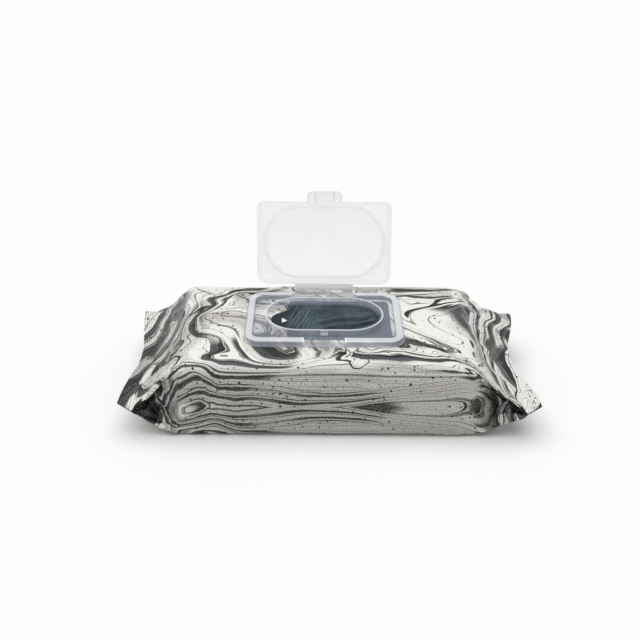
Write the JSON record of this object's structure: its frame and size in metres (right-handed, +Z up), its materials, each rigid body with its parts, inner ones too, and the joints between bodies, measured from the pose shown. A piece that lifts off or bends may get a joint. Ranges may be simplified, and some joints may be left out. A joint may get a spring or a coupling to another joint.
{
  "type": "wet wipes pack",
  "caption": "Sealed soft film pack of wet wipes with tapered, crimped ends and a translucent hinged dispensing lid standing open over a peel label.",
  "frame": {"origin": "centre of the pack's underside, on the surface it lies on", "axes": "+X along the pack towards the end away from the label's pull tab, +Y from the lid's thumb tab towards its hinge, +Z up"},
  "size_m": [0.2544, 0.112, 0.1175],
  "materials": {
    "printed_film": "glossy laminated film with a black, grey and cream marbled print",
    "label_film": "dark slate film label, softly creased",
    "adhesive": "thin whitish adhesive",
    "frosted_plastic": "translucent, slightly frosted polypropylene"
  },
  "bodies": {
    "pack": {"film_pouch": "printed_film", "peel_label": "label_film", "adhesive_ring": "adhesive", "lid_frame": "frosted_plastic"},
    "lid": {"flip_lid": "frosted_plastic"}
  },
  "joints": [
    {"name": "lid_hinge", "type": "hinge", "parent": "pack", "child": "lid", "pos_m": [-0.0035, 0.033, 0.0548], "axis": [-1, 0, 0], "range_deg": [-110, 60]}
  ]
}
